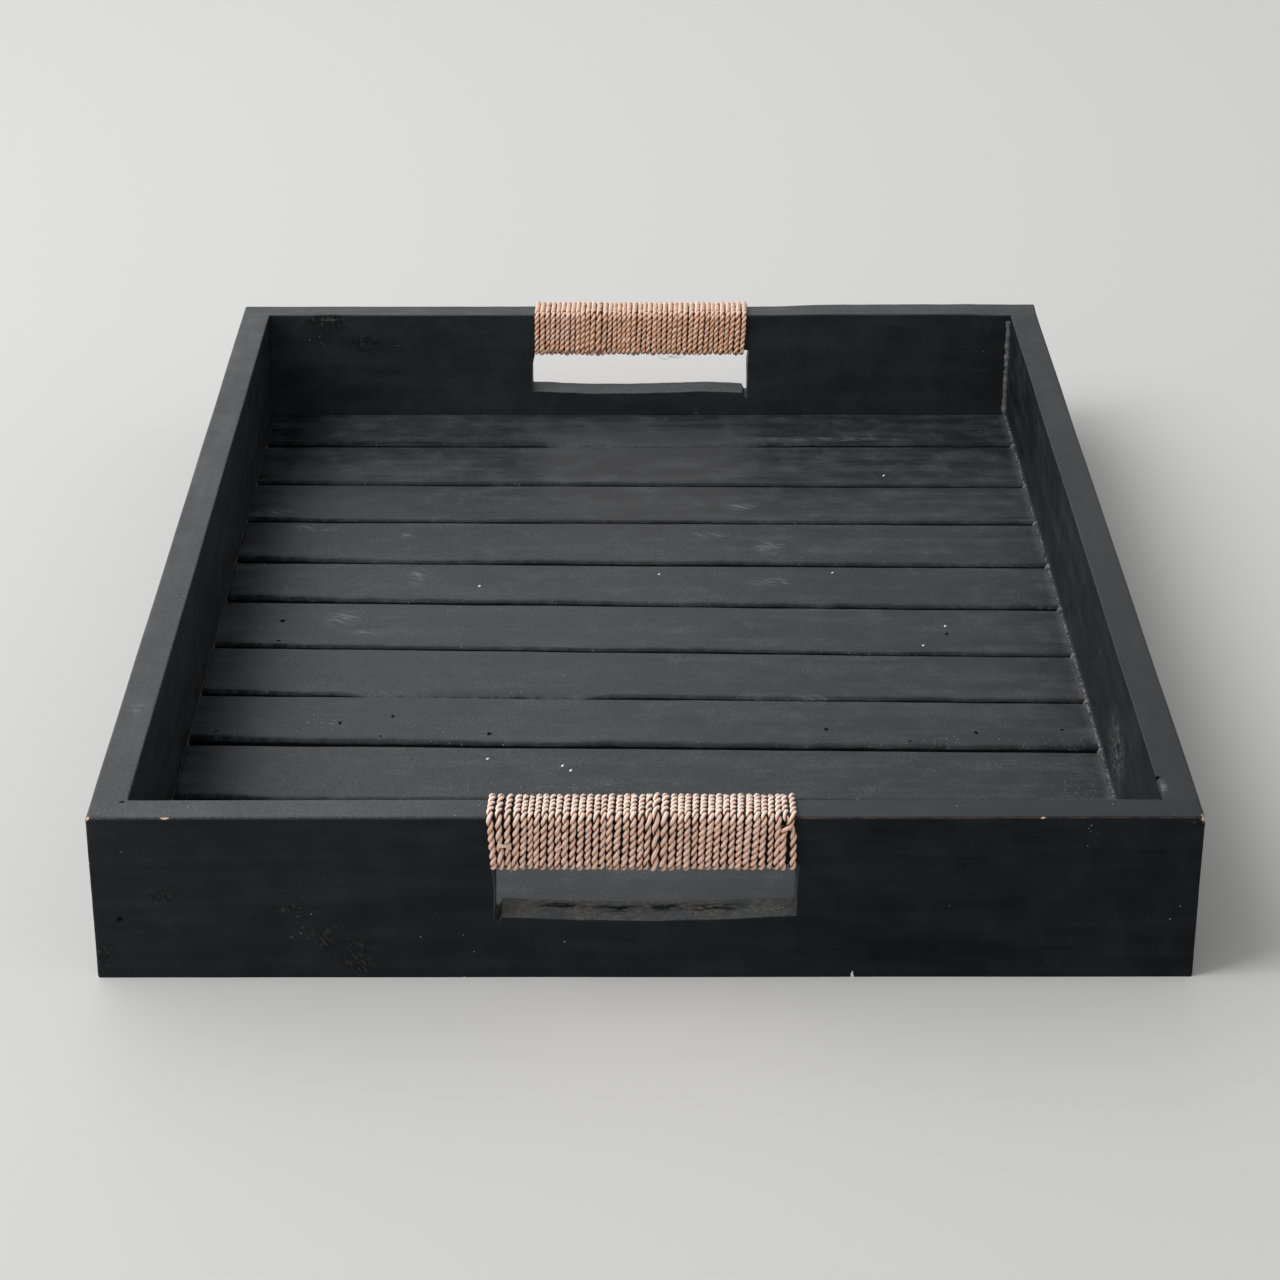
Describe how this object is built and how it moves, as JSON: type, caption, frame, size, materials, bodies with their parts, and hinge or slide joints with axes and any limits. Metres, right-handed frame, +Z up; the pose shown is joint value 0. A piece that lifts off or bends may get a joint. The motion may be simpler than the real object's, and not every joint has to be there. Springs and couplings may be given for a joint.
{
  "type": "serving tray",
  "caption": "Low rectangular wooden tray with a floor of cross slats and a cord-wrapped hand hole through each end, for carrying or displaying things on a table.",
  "frame": {"origin": "the middle of the tray on the surface that it stands on", "axes": "+Z up, +Y along the length from the front hand hole to the rear one, +X to the right as seen from the front end"},
  "size_m": [0.369, 0.5056, 0.0648],
  "materials": {
    "painted_wood": "matt charcoal-black chalky paint over wood",
    "painted_slat": "matt charcoal-black chalky paint over wood, the grain showing along the slats",
    "twisted_cord": "dry two-ply twisted plant-fibre or paper cord, pinkish tan",
    "nail_steel": "plain bright wire nails"
  },
  "bodies": {
    "root": {"front_end_board": "painted_wood", "rear_end_board": "painted_wood", "left_side_board": "painted_wood", "right_side_board": "painted_wood", "floor_slat_01": "painted_slat", "floor_slat_02": "painted_slat", "floor_slat_03": "painted_slat", "floor_slat_04": "painted_slat", "floor_slat_05": "painted_slat", "floor_slat_06": "painted_slat", "floor_slat_07": "painted_slat", "floor_slat_08": "painted_slat", "floor_slat_09": "painted_slat", "floor_slat_10": "painted_slat", "floor_slat_11": "painted_slat", "front_handle_wrap": "twisted_cord", "rear_handle_wrap": "twisted_cord", "front_corner_nails": "nail_steel", "rear_corner_nails": "nail_steel", "left_slat_nails": "nail_steel", "right_slat_nails": "nail_steel"}
  },
  "joints": []
}
